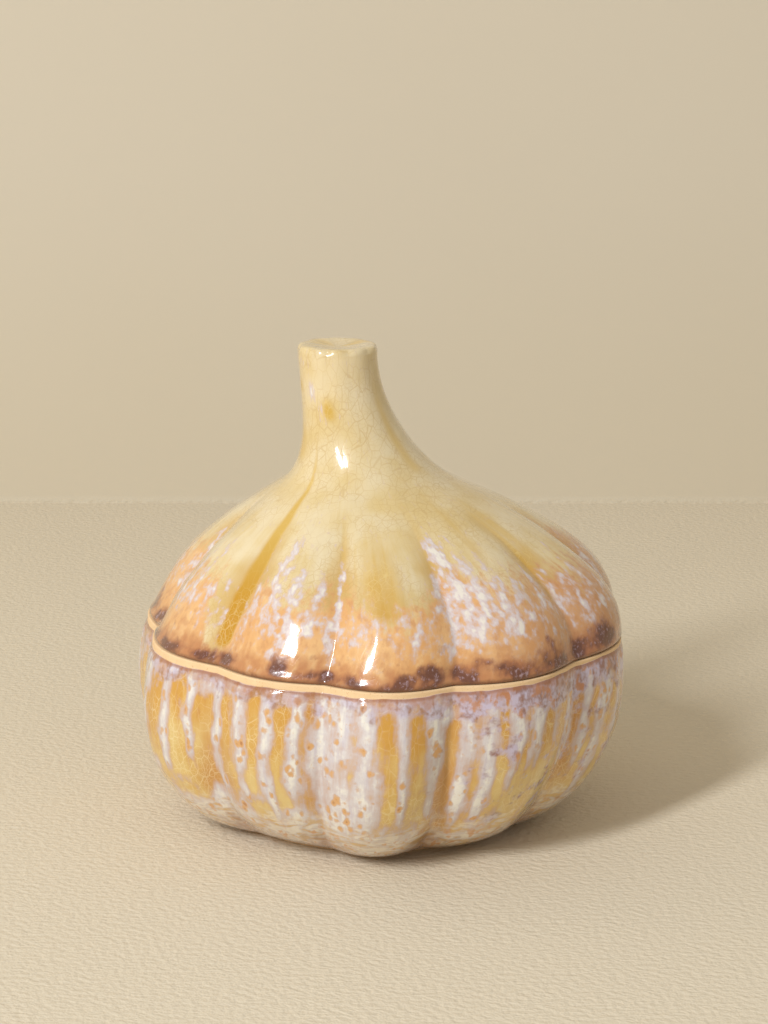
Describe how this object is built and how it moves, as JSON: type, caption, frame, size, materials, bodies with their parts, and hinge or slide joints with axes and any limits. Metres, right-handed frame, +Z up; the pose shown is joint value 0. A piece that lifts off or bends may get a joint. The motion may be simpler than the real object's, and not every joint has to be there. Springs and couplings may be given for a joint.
{
  "type": "garlic keeper",
  "caption": "Lobed stoneware jar shaped like a bulb of garlic, with a lift-off domed lid drawn up into a leaning stem as its handle.",
  "frame": {"origin": "middle of the whole outline, on the table under the foot ring", "axes": "+Z up; -Y is the side that faces the camera; +X is to the camera's right, so the stem leans to -X"},
  "size_m": [0.1288, 0.1319, 0.125],
  "materials": {
    "bowl_glaze": "glossy reactive glaze: honey runs, lilac-white drips and brown speckle",
    "lid_glaze": "glossy crackled honey glaze, apricot and speckled toward the edge"
  },
  "bodies": {
    "bowl": {"bowl": "bowl_glaze"},
    "lid": {"lid": "lid_glaze"}
  },
  "joints": [
    {"name": "lid_lift", "type": "slide", "parent": "bowl", "child": "lid", "axis": [0, 0, 1], "range_m": [0, 0.09]}
  ]
}
